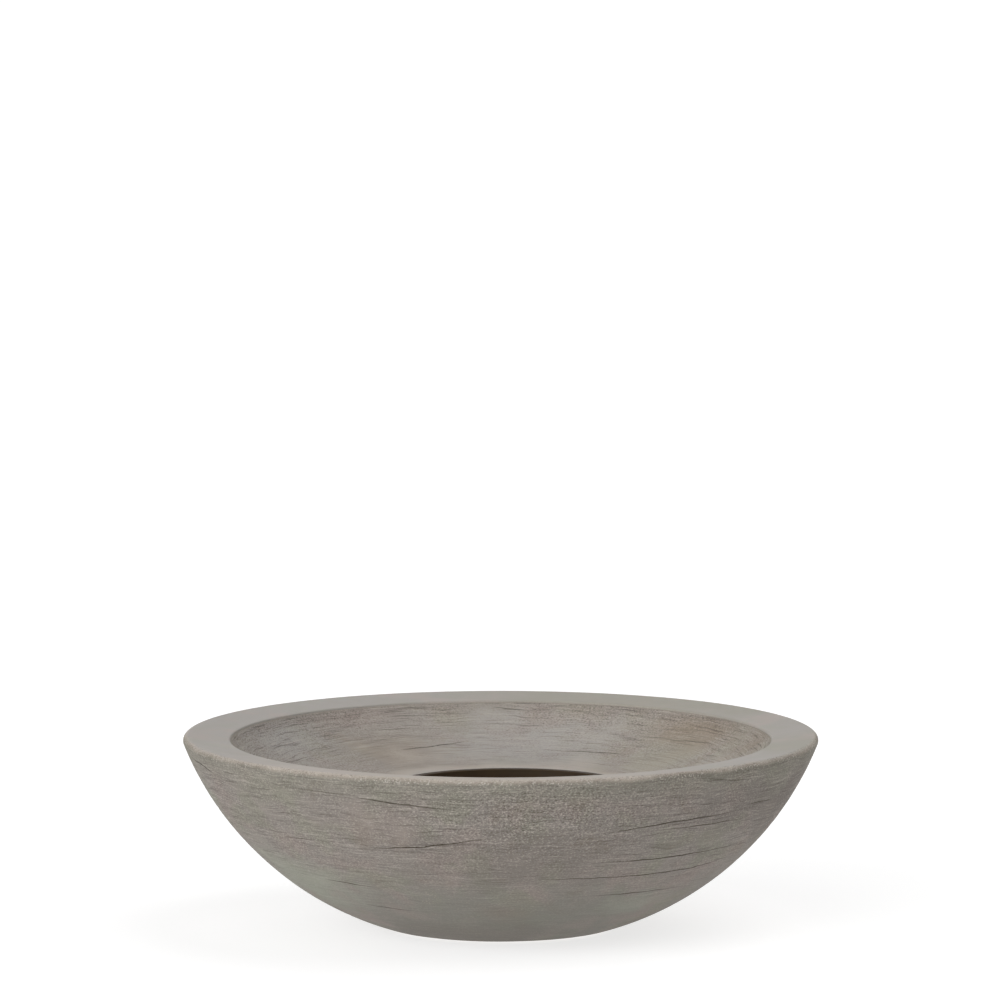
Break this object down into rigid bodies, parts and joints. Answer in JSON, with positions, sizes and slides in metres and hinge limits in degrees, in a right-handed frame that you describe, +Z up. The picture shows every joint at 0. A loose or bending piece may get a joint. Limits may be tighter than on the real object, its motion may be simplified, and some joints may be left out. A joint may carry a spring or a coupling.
{
  "type": "bowl planter",
  "caption": "Shallow round fibre-concrete bowl planter with a flat rim, a sloping inner dish, a lift-out planting liner and a plugged floor drain.",
  "frame": {"origin": "centre of the bowl's bounding box at its lowest plane, on the ground under the three foot pads", "axes": "+Z up along the bowl's axis, +X towards the side to which the planting opening is shifted, -Y towards the picture's viewer"},
  "size_m": [0.4999, 0.5, 0.152],
  "materials": {
    "bowl_concrete": "matte cast fibre concrete, fine sandy pits",
    "dish_concrete": "matte cast fibre concrete, fine ringed grain",
    "joint_mortar": "matte mortar",
    "liner_plastic": "matte dark brown",
    "sleeve_plastic": "satin dark grey",
    "plug_rubber": "matte black",
    "pad_rubber": "matte dark grey"
  },
  "bodies": {
    "bowl": {"outer_bowl": "bowl_concrete", "inner_dish": "dish_concrete", "dish_bond": "joint_mortar", "drain_sleeve": "sleeve_plastic", "foot_pad_1": "pad_rubber", "foot_pad_2": "pad_rubber", "foot_pad_3": "pad_rubber"},
    "liner": {"liner_pot": "liner_plastic"},
    "plug": {"drain_plug": "plug_rubber"}
  },
  "joints": [
    {"name": "liner_lift", "type": "slide", "parent": "bowl", "child": "liner", "axis": [0, 0, 1], "range_m": [0, 0.12]},
    {"name": "plug_pull", "type": "slide", "parent": "bowl", "child": "plug", "axis": [0, 0, 1], "range_m": [0, 0.01]}
  ]
}
